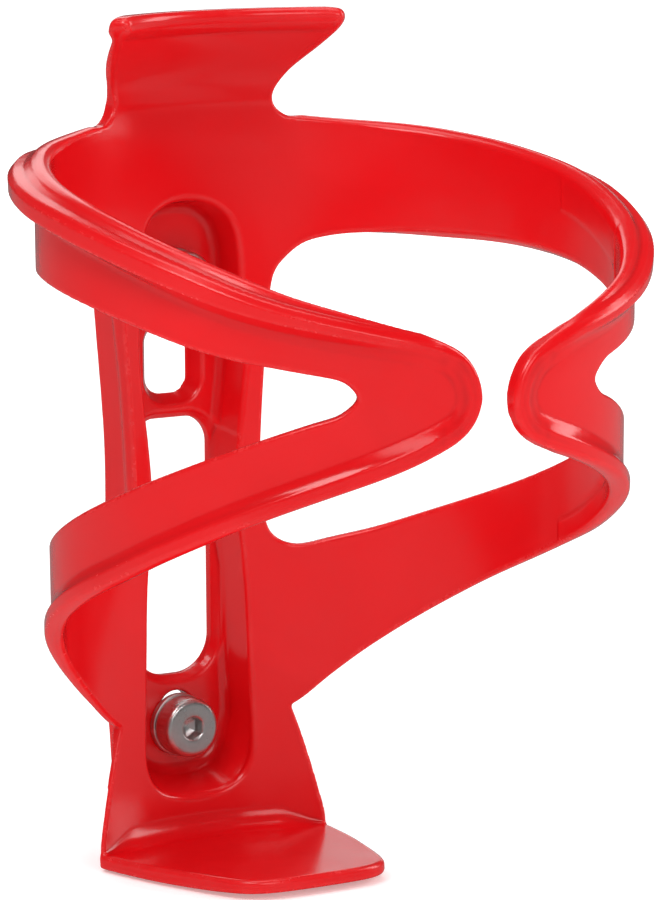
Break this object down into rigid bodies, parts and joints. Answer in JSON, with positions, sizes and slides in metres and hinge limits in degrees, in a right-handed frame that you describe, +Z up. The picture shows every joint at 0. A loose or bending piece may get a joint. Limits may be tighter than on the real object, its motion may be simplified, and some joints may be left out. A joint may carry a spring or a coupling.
{
  "type": "water bottle cage",
  "caption": "Moulded plastic bottle cage: two loop arms with rounded front tips, spine channel with windows, shelf, leaning top tongue, bolts and washers.",
  "frame": {"origin": "midway between the two bolts, on the flat rear face that sits against the bicycle frame", "axes": "+Z up along the spine, +Y out of the rear face towards the bicycle frame, -Y towards the open front, +X to the right seen from the front"},
  "size_m": [0.086, 0.0972, 0.1193],
  "materials": {
    "red_plastic": "glossy saturated red, moulded in colour",
    "stainless_steel": "bright stainless steel",
    "washer_steel": "plain stainless steel"
  },
  "bodies": {
    "cage": {"cage_body": "red_plastic"},
    "upper_washer_body": {"upper_washer": "washer_steel"},
    "lower_washer_body": {"lower_washer": "washer_steel"},
    "upper_bolt_body": {"upper_bolt": "stainless_steel"},
    "lower_bolt_body": {"lower_bolt": "stainless_steel"}
  },
  "joints": [
    {"name": "upper_washer_slide", "type": "slide", "parent": "cage", "child": "upper_washer_body", "axis": [0, 0, 1], "range_m": [-0.002, 0]},
    {"name": "lower_washer_slide", "type": "slide", "parent": "cage", "child": "lower_washer_body", "axis": [0, 0, 1], "range_m": [0, 0.002]},
    {"name": "upper_bolt_turn", "type": "hinge", "parent": "upper_washer_body", "child": "upper_bolt_body", "pos_m": [0, 0, 0.032], "axis": [0, 1, 0], "continuous": true},
    {"name": "lower_bolt_turn", "type": "hinge", "parent": "lower_washer_body", "child": "lower_bolt_body", "pos_m": [0, 0, -0.032], "axis": [0, 1, 0], "continuous": true}
  ]
}
